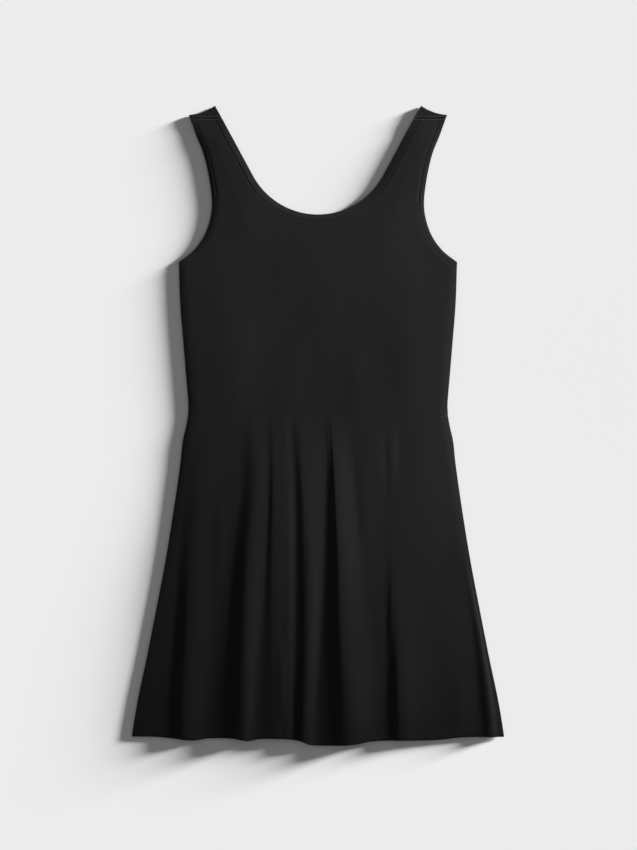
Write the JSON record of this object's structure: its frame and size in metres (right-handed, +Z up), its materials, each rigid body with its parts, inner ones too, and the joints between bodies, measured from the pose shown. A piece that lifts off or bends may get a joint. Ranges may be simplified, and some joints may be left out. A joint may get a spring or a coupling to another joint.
{
  "type": "tennis dress",
  "caption": "Sleeveless scoop-neck tennis dress laid flat, with a fitted bodice, narrow straps and a short flared skirt falling in soft folds.",
  "frame": {"origin": "centre of the bounding box, on the surface that the dress lies on", "axes": "+X across the dress to the right of someone looking down at its front, +Y from the hem to the neck, +Z up out of the surface"},
  "size_m": [0.4892, 0.8403, 0.0145],
  "materials": {
    "jersey": "black stretch knit, matt with a faint sheen",
    "band": "the same black knit, doubled over as an edge band"
  },
  "bodies": {
    "root": {"front_bodice": "jersey", "back_bodice": "jersey", "front_skirt": "jersey", "back_skirt": "jersey", "front_neck_band": "band", "back_neck_band": "band", "front_right_arm_band": "band", "front_left_arm_band": "band", "back_right_arm_band": "band", "back_left_arm_band": "band"}
  },
  "joints": []
}
